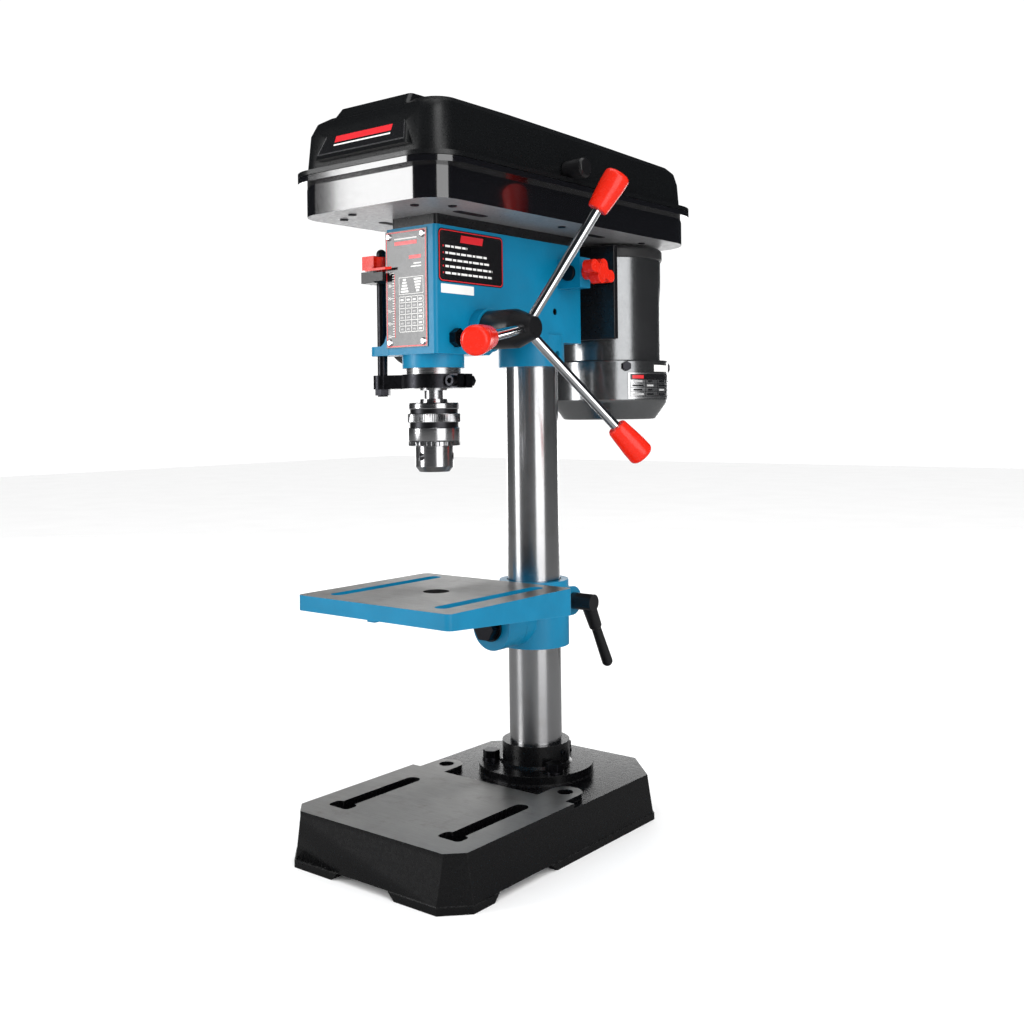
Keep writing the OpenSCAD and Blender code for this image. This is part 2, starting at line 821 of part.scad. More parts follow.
module chuck_sleeve() {
    teeth = 30;
    color([0.78, 0.79, 0.81]) at_spindle() difference() {
        union() {
            post(chuck_r - 0.6, 356.6, 361.6, chuck_r - 1.4);
            post(chuck_r - 1.4, 353, 356.6);
            post(chuck_r, 346, 353);
            post(chuck_r - 1.2, 342, 346);
            post(chuck_r, 331, 342);
            post(chuck_r - 3, 327.2, 331);
            intersection() {
                post(chuck_r - 2.6, 327.2, 331, chuck_r);
                for (i = [0 : teeth - 1]) rotate([0, 0, i * 360 / teeth])
                    block([chuck_r - 4, -1.1, 327], [chuck_r + 2, 1.1, 331]);
            }
        }
        post(15.6 + fit, 326, 332);
        post(chuck_r - 2.1, 331, 350);
        post(17.5 + fit, 349, 363);
    }
}

module jaw(k) {
    wedge_x = jaw_open_r - 0.5;
    color([0.5, 0.5, 0.52]) intersection() {
        jaw_place(k) cylinder(h = jaw_len, r = jaw_r);
        at_spindle() rotate([0, 0, 90 + 120 * k]) translate([0, 0, chuck_z0 - 10])
            linear_extrude(60) polygon([[jaw_open_r, -0.5 * tan(60)],
                [25, -(25 - wedge_x) * tan(60)], [25, (25 - wedge_x) * tan(60)],
                [jaw_open_r, 0.5 * tan(60)]]);
    }
}
module jaw_1() { jaw(0); }
module jaw_2() { jaw(1); }
module jaw_3() { jaw(2); }

// ---- belt drive ----

module sleeve_bearings() {
    color([0.6, 0.62, 0.65]) at_spindle() for (z = [488, 498])
        ring(sleeve_bearing_r, sleeve_r + fit, z, z + 9.8);
}

module drive_sleeve() {
    color([0.6, 0.61, 0.63]) at_spindle() difference() {
        union() {
            post(sleeve_r, 487, 572);
            post(14, 509, pulley_z0);
            post(14, pulley_z0 + steps * step_h, pulley_z0 + steps * step_h + 3);
        }
        translate([0, 0, 485]) linear_extrude(90) spline_2d(spline_r + 0.2, spline_tip_r + 0.2, 3.5);
    }
}

// pulley half outline: a V groove on each step
function pulley_outline(radii) = concat([[0, 0]],
    [for (i = [0 : len(radii) - 1]) let (r = radii[i], z = step_h * i, m = z + step_h / 2,
        w = groove_half - groove_depth * groove_slope) each [[r, z], [r, m - groove_half],
        [r - groove_depth, m - w], [r - groove_depth, m + w], [r, m + groove_half],
        [r, z + step_h]]],
    [[0, step_h * len(radii)]]);

module pulley(radii, bore) {
    color([0.75, 0.76, 0.78]) difference() {
        translate([0, 0, pulley_z0]) rotate_extrude() polygon(pulley_outline(radii));
        post(bore, pulley_z0 - eps, pulley_z0 + steps * step_h + eps);
    }
}
function radii(middle, dir) = [for (i = [0 : steps - 1]) middle + dir * step_change * (i - belt_step)];
module spindle_pulley() { at_spindle() pulley(radii(spindle_step_r, 1), sleeve_r); }
module motor_pulley() { at_motor() pulley(radii(motor_step_r, -1), shaft_r); }

// outline of a taut loop round both pulleys, off the step radii by g
module loop_2d(g) {
    hull() {
        translate([0, spindle_y]) circle(spindle_step_r + g);
        translate([0, motor_y]) circle(motor_step_r + g);
    }
}

module v_belt() {
    depth = groove_depth - 1;
    half = groove_half - depth * groove_slope - 0.3;
    z = pulley_z0 + step_h * (belt_step + 0.5);
    color([0.06, 0.06, 0.06]) translate([0, 0, z - half]) linear_extrude(2 * half)
        difference() {
            loop_2d(-0.4);
            loop_2d(-depth);
        }
}

// outline with one radius at the front corners and another at the rear ones
module long_2d(hw, y0, y1, rf, rr) {
    union() {
        for (i = [-1, 1]) {
            translate([i * (hw - rf), y0 + rf]) circle(rf);
            translate([i * (hw - rr), y1 - rr]) circle(rr);
        }
        translate([-hw, y0 + rf]) square([2 * hw, y1 - y0 - rf - rr]);
        translate([-hw + rf, y0]) square([2 * (hw - rf), rf + 1]);
        translate([-hw + rr, y1 - rr - 1]) square([2 * (hw - rr), rr + 1]);
    }
}

module housing_2d(grow) {
    long_2d(housing_hw + grow, housing_y0 - grow, housing_y1 + grow, housing_corner + grow,
        housing_rear_corner + grow);
}

module belt_housing() {
    color([0.04, 0.04, 0.045]) difference() {
        union() {
            translate([0, 0, housing_z0]) linear_extrude(housing_z1 - housing_z0) housing_2d(0);
            translate([0, 0, housing_z1 - 4.5]) linear_extrude(4.5) housing_2d(lip);
            hinge_ends() {
                bar_y(4, 0, 14, hinge_x, hinge_z);
                block([hinge_x, 0, housing_z1 - 4.5], [hinge_x + 6, 14, housing_z1]);
            }
        }
        translate([0, 0, housing_z0 + 3]) linear_extrude(40) housing_2d(-2.2);
        at_spindle() post(15, housing_z0 - eps, housing_z0 + 5);
        translate([0, motor_y, housing_z0 - eps]) linear_extrude(6) slot_2d(30, -27, 17);
        housing_screw_places() post(3, housing_z0 - eps, housing_z0 + 5);
        hinge_ends() bar_y(2, -eps, 15, hinge_x, hinge_z);
        hinge_mids() bar_y(4.6, -0.5, 20.5, hinge_x, hinge_z);
    }
}
// the two hinges: outer knuckles on the housing, middle knuckles on the lid
module hinge_ends() {
    for (y = [-90, -55.5, 90, 124.5]) translate([0, y, 0]) children();
}
module hinge_mids() { for (y = [-75.5, 104.5]) translate([0, y, 0]) children(); }

module housing_screws() {
    top = housing_z0 + 3;
    color([0.3, 0.3, 0.32]) housing_screw_places() {
        post(3, 494, top + 1);
        ring(6, 3, top, top + 1);
        translate([0, 0, top + 1]) hex(8, 3.5);
    }
}

// lid body as stacked outlines, drawn in by inset
module lid_shape(inset) {
    levels = [[lid_z0, 1, 0, 0], [lid_z0 + 30, 3, 2, 1], [lid_z0 + 39.5, 6, 5, 1],
        [lid_z0 + 44.3, 11, 8, 1]];
    $fn = 40;
    hull() {
        for (l = levels) translate([0, 0, l[0] - inset]) rotate([-lid_slope * l[3], 0, 0])
            linear_extrude(sheet)
                long_2d(housing_hw - l[1] - inset, housing_y0 + 1.6 * l[1] + inset,
                    housing_y1 - l[1] - inset, housing_corner - 4 - l[2] / 2 - inset,
                    housing_rear_corner - l[2] - inset);
        translate([0, 0, lid_top_z - sheet - inset]) rotate([-lid_slope, 0, 0])
            linear_extrude(sheet) plate_2d(housing_hw - 16 - inset, -70, 70, 12);
    }
}

// raised panel on the lid's sloped front: height, half width, front edge, rear edge
module lid_panel() {
    levels = [[549, 49, -162.2, -120], [583, 39.5, -149, -110], [590, 37.5, -144, -100]];
    hull() for (l = levels) translate([0, 0, l[0]]) linear_extrude(sheet)
        plate_2d(l[1], l[2], l[3], 3);
}

module belt_lid() {
    color([0.05, 0.05, 0.055]) difference() {
        union() {
            lid_shape(0);
            lid_panel();
            translate([0, 0, lid_z0]) linear_extrude(3.5) housing_2d(lip);
            hinge_mids() {
                bar_y(4, 0, 20, hinge_x, hinge_z);
                block([hinge_x, 0, hinge_z], [hinge_x + 8, 20, hinge_z + 3]);
            }
        }
        lid_shape(lid_wall);
        translate([0, 0, lid_z0 - eps]) linear_extrude(eps + 3) housing_2d(-3.6);
        hinge_mids() bar_y(2 + fit, -eps, 21, hinge_x, hinge_z);
        hinge_ends() bar_y(4.6, -0.5, 14.5, hinge_x, hinge_z);
        bar_x(3, 50, 80, lid_knob_y, lid_knob_z);
    }
}

module lid_knob() {
    color([0.06, 0.06, 0.07]) {
        bar_x(3, housing_hw - 9, housing_hw + 3, lid_knob_y, lid_knob_z);
        bar_x(7.2, housing_hw - 1, 92, lid_knob_y, lid_knob_z, 8.2);
        bar_x(8.2, 92, 94, lid_knob_y, lid_knob_z, 6.8);
    }
}

module hinge_pins() {
    color([0.5, 0.5, 0.52]) for (y = [-90, 90]) bar_y(2, y, y + 48.5, hinge_x, hinge_z);
}

// ---- motor ----

module slide_rods() {
    color([0.1, 0.1, 0.11]) both_sides() bar_y(rod_r, lug_y0 - 3, 104, rod_x, rod_z);
}

module motor_mount() {
    color([0.05, 0.05, 0.055]) difference() {
        union() {
            block([-50, 104, 418], [50, 110, 502]);
            for (z = [425, 485]) block([-34, 110 - eps, z - 6], [34, motor_y - 30, z + 6]);
            both_sides() block([20, 110 - eps, 425], [26, motor_y - 30, 485]);
        }
        at_motor() post(can_r, 400, 510);
    }
}

module motor_can() {
    color([0.07, 0.07, 0.08]) at_motor() ring(can_r, can_r - 3, can_z0, can_z1);
}

module stator() {
    color([0.45, 0.25, 0.12]) at_motor() ring(can_r - 3, 30, 412, 484);
}

module motor_shaft() {
    color([0.55, 0.55, 0.57]) at_motor() {
        post(6, 350, 365);
        post(shaft_r, 365, 571);
        post(28.5, 414, 482);
    }
}

module motor_cap() {
    color([0.09, 0.09, 0.1]) at_motor() difference() {
        union() {
            post(can_r + 1.7, can_z1, 504);
            post(can_r + 1.7, 504, 506, can_r - 0.3);
            post(can_r - 3, can_z1 - 4, can_z1 + 1);
        }
        post(can_r - 6, can_z1 - 5, 501);
        post(shaft_r + fit, 480, 510);
    }
}

module motor_bell() {
    color([0.06, 0.06, 0.07]) at_motor() difference() {
        union() {
            rotate_extrude() polygon([[0, bell_z0], [44, bell_z0], [bell_r, 362], [bell_r, can_z0],
                [0, can_z0]]);
            post(can_r - 3, can_z0 - 1, can_z0 + 4);
        }
        rotate_extrude() polygon([[15, 349], [42, 349], [bell_r - 4, 364], [bell_r - 4, 394],
            [can_r - 6, 396], [can_r - 6, 406], [0, 406], [0, 364], [15, 364]]);
        post(6 + fit, 349, 366);
    }
}

module motor_nameplate() {
    color([0.75, 0.76, 0.78]) at_motor() rotate([0, 0, -38]) rotate_extrude(angle = 76)
        translate([bell_r, 364]) square([0.6, 24]);
}

module motor_screws() {
    color([0.1, 0.1, 0.11]) at_motor() for (a = [-40, 50, 140, 230]) rotate([0, 0, a]) {
        translate([bell_r, 0, 394]) along_x() hex(8, 4);
    }
}

module star_knob() {
    color([0.9, 0.14, 0.05]) translate([0, star_y, rod_z]) {
        bar_x(4, rod_x + rod_r + 0.3, 62, 0, 0);
        bar_x(6.2, 51 + gap, 60, 0, 0);
        rotate([-17, 0, 0]) {
            bar_x(7, 60, 71, 0, 0);
            for (s = [-1, 1]) {
                bar_x(5.4, 60, 70, s * 12.5, 0);
                bar_x(5.8, 60, 70, 0, s * 5);
            }
            block([60, -12, -4.4], [70, 12, 4.4]);
        }
    }
}

// ---- switch ----

button_y = 4;
button_z = [474, 448];
button_r = 8;
box_x0 = -52;
module switch_box() {
    color([0.08, 0.08, 0.09]) difference() {
        block([box_x0, -18, 428], [-head_hw, 26, 494]);
        block([box_x0 + 2.5, -15.5, 430.5], [-head_hw - 2.5, 23.5, 491.5]);
        for (z = button_z) bar_x(button_r + 0.06, box_x0 - eps, box_x0 + 4, button_y, z);
        block([-head_hw - 4, 2, 455], [-head_hw + eps, 18, 470]);
        translate([-40, 4, 0]) post(5, 420, 432);
    }
}
module button(z, c) {
    color(c) {
        bar_x(button_r, box_x0 - 5, box_x0 + 5, button_y, z);
        bar_x(button_r - 1.4, box_x0 - 6, box_x0 - 4.9, button_y, z);
    }
}
module start_button() { button(button_z[0], [0.05, 0.5, 0.15]); }
module stop_button() { button(button_z[1], [0.75, 0.05, 0.04]); }

module cable_gland() {
    color([0.05, 0.05, 0.055]) translate([-40, 4, 0]) difference() {
        union() {
            post(5, 420, 434);
            translate([0, 0, 420]) hex(16, 8);
            post(5, 412, 420.1, 6.8);
        }
        post(3.2, 410, 436);
    }
}

// ---- the whole machine ----

base();
column_flange();
flange_bolts();
flange_set_screw();
column();
bracket_liner();
table_bracket();
clamp_stud();
clamp_lever();
table();
tilt_bolt();
head_casting();
head_set_screws();
front_plate();
plate_screws();
side_plate();
gib_screw();
pinion_shaft();
feed_hub();
feed_arms();
feed_knobs();
spring_cup();
return_spring();
quill();
quill_collar();
collar_bolt();
depth_rod();
depth_stop();
depth_pointer();
spindle_bearings();
spindle();
chuck_body();
chuck_sleeve();
jaw_1();
jaw_2();
jaw_3();
sleeve_bearings();
drive_sleeve();
spindle_pulley();
belt_housing();
housing_screws();
belt_lid();
lid_knob();
hinge_pins();
v_belt();
motor_pulley();
motor_shaft();
stator();
slide_rods();
motor_mount();
motor_can();
motor_cap();
motor_bell();
motor_nameplate();
motor_screws();
star_knob();
switch_box();
start_button();
stop_button();
cable_gland();
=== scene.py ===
import json
import math

import bmesh
import bpy
from mathutils import Matrix, Vector

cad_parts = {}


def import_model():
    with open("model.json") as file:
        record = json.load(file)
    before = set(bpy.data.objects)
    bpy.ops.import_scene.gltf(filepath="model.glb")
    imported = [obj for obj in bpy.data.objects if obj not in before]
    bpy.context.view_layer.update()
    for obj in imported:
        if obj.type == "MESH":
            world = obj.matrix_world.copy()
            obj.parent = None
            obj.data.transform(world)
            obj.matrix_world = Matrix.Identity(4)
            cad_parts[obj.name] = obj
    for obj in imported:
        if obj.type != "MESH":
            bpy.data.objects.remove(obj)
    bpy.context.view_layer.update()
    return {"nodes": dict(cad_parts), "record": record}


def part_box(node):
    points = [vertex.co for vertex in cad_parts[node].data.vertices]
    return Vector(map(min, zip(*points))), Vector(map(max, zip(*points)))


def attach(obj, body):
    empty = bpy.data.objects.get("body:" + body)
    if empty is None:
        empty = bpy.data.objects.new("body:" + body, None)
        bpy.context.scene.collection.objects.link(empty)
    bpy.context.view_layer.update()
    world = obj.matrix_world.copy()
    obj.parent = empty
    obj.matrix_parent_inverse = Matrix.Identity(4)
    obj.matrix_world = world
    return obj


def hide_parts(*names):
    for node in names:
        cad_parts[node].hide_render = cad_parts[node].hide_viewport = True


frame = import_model()
nodes, record = frame["nodes"], frame["record"]
body_of = {n: b for b, ns in record["behaviour"]["bodies"].items() for n in ns}
slot_of = {s["node"]: s["material_slot"] for s in record["subparts"]}
MM = 0.001


# ---------------------------------------------------------------- materials

def new_mat(name):
    m = bpy.data.materials.new(name)
    m.use_nodes = True
    nt = m.node_tree
    nt.nodes.clear()
    out = nt.nodes.new("ShaderNodeOutputMaterial")
    sh = nt.nodes.new("ShaderNodeBsdfPrincipled")
    nt.links.new(sh.outputs[0], out.inputs[0])
    return m, nt, sh


def coords(nt, scale=(1, 1, 1)):
    tc = nt.nodes.new("ShaderNodeTexCoord")
    mp = nt.nodes.new("ShaderNodeMapping")
    mp.inputs["Scale"].default_value = scale
    nt.links.new(tc.outputs["Object"], mp.inputs[0])
    return mp.outputs[0]


def noise(nt, vec, scale, detail=4.0, rough=0.6):
    n = nt.nodes.new("ShaderNodeTexNoise")
    n.inputs["Scale"].default_value = scale
    n.inputs["Detail"].default_value = detail
    n.inputs["Roughness"].default_value = rough
    nt.links.new(vec, n.inputs["Vector"])
    return n.outputs["Fac"]


def ramp(nt, fac, stops):
    r = nt.nodes.new("ShaderNodeValToRGB")
    el = r.color_ramp.elements
    while len(el) < len(stops):
        el.new(0.5)
    for e, (p, c) in zip(el, stops):
        e.position = p
        e.color = (*c, 1) if len(c) == 3 else c
    nt.links.new(fac, r.inputs[0])
    return r.outputs[0]


def spread(nt, fac, lo, hi, a=0.3, b=0.7):
    r = nt.nodes.new("ShaderNodeMapRange")
    for k, v in zip(("From Min", "From Max", "To Min", "To Max"), (a, b, lo, hi)):
        r.inputs[k].default_value = v
    nt.links.new(fac, r.inputs["Value"])
    return r.outputs[0]


def bump(nt, sh, layers):
    """layers: (height socket, strength, distance in mm)"""
    last = None
    for h, strength, dist in layers:
        b = nt.nodes.new("ShaderNodeBump")
        b.inputs["Strength"].default_value = strength
        b.inputs["Distance"].default_value = dist * MM
        nt.links.new(h, b.inputs["Height"])
        if last:
            nt.links.new(last, b.inputs["Normal"])
        last = b.outputs[0]
    nt.links.new(last, sh.inputs["Normal"])


def mix(nt, fac, a, b):
    m = nt.nodes.new("ShaderNodeMix")
    m.data_type = "RGBA"
    nt.links.new(fac, m.inputs[0])
    for s, v in ((m.inputs[6], a), (m.inputs[7], b)):
        if isinstance(v, tuple):
            s.default_value = (*v, 1)
        else:
            nt.links.new(v, s)
    return m.outputs[2]


def edge_mask(nt, radius, patch):
    """1 along sharp edges, broken up by the patch noise; radius in mm"""
    bv = nt.nodes.new("ShaderNodeBevel")
    bv.samples = 4
    bv.inputs["Radius"].default_value = radius * MM
    geo = nt.nodes.new("ShaderNodeNewGeometry")
    dot = nt.nodes.new("ShaderNodeVectorMath")
    dot.operation = "DOT_PRODUCT"
    nt.links.new(bv.outputs[0], dot.inputs[0])
    nt.links.new(geo.outputs["Normal"], dot.inputs[1])
    edge = spread(nt, dot.outputs["Value"], 1, 0, 0.86, 0.985)
    mul = nt.nodes.new("ShaderNodeMath")
    mul.operation = "MULTIPLY"
    nt.links.new(edge, mul.inputs[0])
    nt.links.new(spread(nt, patch, 0.15, 0.9, 0.42, 0.62), mul.inputs[1])
    return mul.outputs[0]


def shade(c, k):
    return tuple(min(1, x * k) for x in c)


def paint(name, col, rough=0.3, peel=0.35, peel_scale=420, cast=0.25, coat=0.35, vary=0.12, spec=0.5,
          wear_and_highlight=0.03):
    """Enamel on metal: orange peel, the casting's skin under it, and slow shifts of tone."""
    m, nt, sh = new_mat(name)
    v = coords(nt)
    slow = noise(nt, v, 18, 3)
    fine = noise(nt, v, peel_scale, 3, 0.5)
    skin = noise(nt, v, 120, 5, 0.7)
    c = ramp(nt, slow, [(0.3, shade(col, 1 - vary)), (0.7, shade(col, 1 + vary))])
    # edges turn lighter: partly wear, partly a painted highlight that stands in for the glints the sharp
    # edges catch
    worn_and_highlit = tuple(x * 1.35 + wear_and_highlight for x in col)
    c = mix(nt, edge_mask(nt, 0.9, noise(nt, v, 260, 4)), c, worn_and_highlit)
    nt.links.new(c, sh.inputs["Base Color"])
    nt.links.new(spread(nt, fine, rough - 0.05, rough + 0.08), sh.inputs["Roughness"])
    sh.inputs["Coat Weight"].default_value = coat
    sh.inputs["Coat Roughness"].default_value = 0.12
    sh.inputs["Specular IOR Level"].default_value = spec
    bump(nt, sh, [(skin, cast, 0.5), (fine, peel, 0.12)])
    return m


def metal(name, col, rough=0.3, grain=(1, 1, 1), grain_scale=900, grain_depth=0.1, vary=0.12, aniso=0.0,
          dirt=None, metallic=1.0, turn=0.0, even=1.0):
    """Machined or drawn metal: grain stretched by the scale in grain, with stains.
    turn is the anisotropic rotation, and even scales how far the roughness varies."""
    m, nt, sh = new_mat(name)
    v = coords(nt, grain)
    fine = noise(nt, v, grain_scale, 3, 0.7)
    slow = noise(nt, coords(nt), 28, 5, 0.65)
    c = ramp(nt, slow, [(0.3, shade(col, 1 - vary)), (0.72, shade(col, 1 + vary * 0.6))])
    if dirt:
        patch = noise(nt, coords(nt), 46, 6, 0.7)
        c = mix(nt, spread(nt, patch, 0, 0.85, 0.55, 0.74), c, dirt)
    nt.links.new(c, sh.inputs["Base Color"])
    sh.inputs["Metallic"].default_value = metallic
    low, high = rough * (1 - 0.25 * even), rough * (1 + 0.3 * even)
    nt.links.new(spread(nt, fine, low, high), sh.inputs["Roughness"])
    sh.inputs["Anisotropic"].default_value = aniso
    sh.inputs["Anisotropic Rotation"].default_value = turn
    bump(nt, sh, [(fine, 0.35, grain_depth)])
    return m


def plastic(name, col, rough=0.3, tex=0.15, tex_scale=500, coat=0.0, vary=0.06, spec=0.5):
    """Moulded plastic, rubber or print with a fine texture."""
    m, nt, sh = new_mat(name)
    v = coords(nt)
    fine = noise(nt, v, tex_scale, 3, 0.55)
    slow = noise(nt, v, 24, 3)
    c = ramp(nt, slow, [(0.3, shade(col, 1 - vary)), (0.7, shade(col, 1 + vary))])
    nt.links.new(c, sh.inputs["Base Color"])
    nt.links.new(spread(nt, fine, rough * 0.85, rough * 1.2), sh.inputs["Roughness"])
    sh.inputs["Coat Weight"].default_value = coat
    sh.inputs["Coat Roughness"].default_value = 0.05
    sh.inputs["Specular IOR Level"].default_value = spec
    bump(nt, sh, [(fine, tex, 0.15)])
    return m


BLUE = (0.0, 0.16, 0.30)
M = {
    "blue": paint("blue_enamel", BLUE, 0.36, 0.3, 380, 0.3, 0.06, spec=0.28),
    "black_cast": paint("black_cast_enamel", (0.0022, 0.0022, 0.0026), 0.25, 0.12, 300, 0.06, 0.05,
                        spec=0.32),
    "ground": metal("ground_iron", (0.30, 0.295, 0.285), 0.4, (1, 40, 1), 60, 0.05, 0.1, 0.3,
                    dirt=(0.2, 0.185, 0.17)),
    "tube": metal("ground_tube", (0.60, 0.60, 0.61), 0.26, (1, 1, 0.4), 40, 0.0002, 0.05, 0.75,
                  dirt=(0.5, 0.49, 0.48), turn=0.25, even=0.12),
    "steel": metal("turned_steel", (0.55, 0.55, 0.56), 0.28, (1, 1, 40), 60, 0.04),
    "chrome": metal("chrome", (0.8, 0.81, 0.83), 0.07, (1, 1, 1), 300, 0.01, 0.04),
    "chuck": metal("chuck_steel", (0.52, 0.52, 0.53), 0.2, (1, 1, 60), 40, 0.03, 0.08),
    "chuck_dark": metal("chuck_groove", (0.05, 0.05, 0.055), 0.35, (1, 1, 60), 40, 0.03, 0.1),
    "oxide": metal("black_oxide", (0.035, 0.035, 0.04), 0.34, (1, 1, 1), 500, 0.04, 0.15),
    "black_paint": paint("satin_black_paint", (0.006, 0.006, 0.007), 0.3, 0.12, 500, 0.05, 0.2),
    "can": metal("motor_can_lacquer", (0.26, 0.265, 0.27), 0.2, (1, 1, 1), 420, 0.008, 0.1, metallic=0.95),
    "gloss": plastic("gloss_black_plastic", (0.003, 0.003, 0.004), 0.1, 0.03, 200, 0.5, 0.06, 1.0),
    "lid": plastic("satin_black_plastic", (0.004, 0.0045, 0.005), 0.3, 0.18, 700, 0.0),
    "grip": plastic("matt_black_plastic", (0.007, 0.007, 0.008), 0.32, 0.2, 600, 0.0),
    "crackle": plastic("crackle_black", (0.02, 0.02, 0.021), 0.42, 0.9, 330, 0.0, 0.2),
    "red": plastic("orange_red_plastic", (0.62, 0.012, 0.002), 0.25, 0.06, 300, 0.1, 0.05, 0.35),
    "green": plastic("green_plastic", (0.02, 0.30, 0.06), 0.25, 0.06, 300, 0.4),
    "alu": metal("cast_aluminium", (0.66, 0.66, 0.67), 0.38, (1, 1, 30), 60, 0.05),
    "plate_silver": metal("plate_silver", (0.72, 0.72, 0.73), 0.3, (1, 1, 50), 50, 0.02, 0.05),
    "white": plastic("white_print", (0.78, 0.78, 0.76), 0.42, 0.05, 400),
    "grey_print": plastic("grey_print", (0.42, 0.42, 0.42), 0.4, 0.05, 400),
    "red_print": plastic("red_print", (0.62, 0.012, 0.02), 0.35, 0.05, 400, 0.3),
    "black_print": plastic("black_print", (0.008, 0.008, 0.009), 0.22, 0.03, 400, 0.4),
    "rubber": plastic("belt_rubber", (0.012, 0.012, 0.012), 0.7, 0.5, 900),
    "slot_dark": plastic("slot_shadow", (0.003, 0.003, 0.004), 0.7, 0.3, 300),
    # the housing's underside: a lighter grey that is a painted reflection of the pale floor in the gloss
    # black paint
    "underside_painted_reflection": metal("housing_underside_painted_reflection", (0.2, 0.2, 0.205), 0.36, (1, 1, 1), 260, 0.03, 0.08,
                        metallic=0.2),
    "winding": metal("stator_iron", (0.20, 0.12, 0.07), 0.5, (1, 1, 60), 60, 0.1),
}


# ---------------------------------------------------------------- mesh helpers

def keep(o, body, slot=None, *replaced):
    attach(o, body)
    if replaced:
        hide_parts(*replaced)
    return o


def obj(name, bm, mats, smooth_deg=35):
    me = bpy.data.meshes.new(name)
    bm.normal_update()
    bm.to_mesh(me)
    bm.free()
    for m in mats:
        me.materials.append(m)
    o = bpy.data.objects.new(name, me)
    bpy.context.collection.objects.link(o)
    for p in me.polygons:
        p.use_smooth = True
    me.set_sharp_from_angle(angle=math.radians(smooth_deg))
    return o


WELD = 2e-6      # m, corners closer than this are one
FLAT = math.radians(0.6)


def carve(o, cutter):
    """Cuts the cutter's shape out of a piece and removes the cutter."""
    cut = o.modifiers.new("cut", "BOOLEAN")
    cut.operation, cut.solver, cut.object = "DIFFERENCE", "EXACT", cutter
    depsgraph = bpy.context.evaluated_depsgraph_get()
    o.data = bpy.data.meshes.new_from_object(o.evaluated_get(depsgraph))
    o.modifiers.clear()
    bpy.data.objects.remove(cutter)


def refine(node, mats, width=0.6, segs=2, pick=None, angle=28, smooth=35, cutter=None):
    """A copy of a CAD node with its flat faces joined and its edges rounded, width in mm.
    pick gives a face's material from its centre in mm and its normal."""
    bm = bmesh.new()
    bm.from_mesh(nodes[node].data)
    bmesh.ops.remove_doubles(bm, verts=bm.verts, dist=WELD)
    bmesh.ops.dissolve_limit(bm, angle_limit=FLAT, verts=bm.verts, edges=bm.edges)
    bm.normal_update()
    if pick:
        for f in bm.faces:
            f.material_index = pick(f.calc_center_median() / MM, f.normal)
    o = obj(node + "_skin", bm, mats, smooth)
    if cutter:
        carve(o, cutter)
    if width:
        b = o.modifiers.new("edges", "BEVEL")
        b.width, b.segments, b.limit_method = width * MM, segs, "ANGLE"
        b.angle_limit = math.radians(angle)
        b.use_clamp_overlap = True
        b.miter_outer = "MITER_ARC"
        w = o.modifiers.new("flats", "WEIGHTED_NORMAL")
        w.keep_sharp = True
    keep(o, body_of[node], slot_of[node], node)


def lathe(bm, profile, seg, mats, at, closed=True):
    """Turned solid about Z at x, y in mm. profile: (r, z) from the bottom, where r may be a function
    of angle. mats holds one material index for each band of the profile."""
    rings = []
    for r, z in profile:
        ring = []
        for i in range(seg):
            a = 2 * math.pi * i / seg
            q = r(a) if callable(r) else r
            x, y = at[0] + q * math.cos(a), at[1] + q * math.sin(a)
            ring.append(bm.verts.new((x * MM, y * MM, z * MM)))
        rings.append(ring)
    for k in range(len(rings) - 1):
        for i in range(seg):
            j = (i + 1) % seg
            f = bm.faces.new((rings[k][i], rings[k][j], rings[k + 1][j], rings[k + 1][i]))
            f.material_index = mats[k]
    if closed:
        bm.faces.new(list(reversed(rings[0])))
        bm.faces.new(rings[-1])
    else:
        for i in range(seg):
            j = (i + 1) % seg
            bm.faces.new((rings[-1][i], rings[-1][j], rings[0][j], rings[0][i]))


def prism(bm, outline, origin, u, v, depth, mat=0):
    """Flat shape, outline in mm on axes u and v from origin, raised by depth along u x v."""
    u, v, origin = Vector(u), Vector(v), Vector(origin)
    n = u.cross(v).normalized()
    low = [bm.verts.new((origin + u * a + v * b) * MM) for a, b in outline]
    top = [bm.verts.new((origin + u * a + v * b + n * depth) * MM) for a, b in outline]
    bm.faces.new(list(reversed(low))).material_index = mat
    bm.faces.new(top).material_index = mat
    for i in range(len(low)):
        j = (i + 1) % len(low)
        bm.faces.new((low[i], low[j], top[j], top[i])).material_index = mat


def box2(a, b, c, d):
    """Rectangle outline from corner a, b to corner c, d."""
    return [(a, b), (c, b), (c, d), (a, d)]


def rounded(a, b, c, d, r, n=5):
    """The same rectangle with its corners rounded by r."""
    pts = []
    for cx, cy, s in ((c - r, b + r, -90), (c - r, d - r, 0), (a + r, d - r, 90), (a + r, b + r, 180)):
        for k in range(n + 1):
            t = math.radians(s + 90 * k / n)
            pts.append((cx + r * math.cos(t), cy + r * math.sin(t)))
    return pts


def frame_line(bm, outer, inner, origin, u, v, depth, mat=0):
    """Closed band between two outlines with the same number of points."""
    u, v, origin = Vector(u), Vector(v), Vector(origin)
    n = u.cross(v).normalized()
    rows = []
    for pts, h in ((outer, 0), (outer, depth), (inner, depth), (inner, 0)):
        rows.append([bm.verts.new((origin + u * a + v * b + n * h) * MM) for a, b in pts])
    for k in range(4):
        r0, r1 = rows[k], rows[(k + 1) % 4]
        for i in range(len(r0)):
            j = (i + 1) % len(r0)
            bm.faces.new((r0[i], r0[j], r1[j], r1[i])).material_index = mat


# the bars of each digit, named as on a seven-bar display
DIGITS = {"0": "abcdef", "1": "bc", "2": "abged", "3": "abgcd", "4": "fgbc", "5": "afgcd"}


PRINT = 0.09      # mm, how far print stands above its plate


def bar(bm, axes, x0, y0, x1, y1, mat):
    """A printed rectangle. axes: a plate's corner and its two directions."""
    prism(bm, box2(x0, y0, x1, y1), *axes, PRINT, mat)


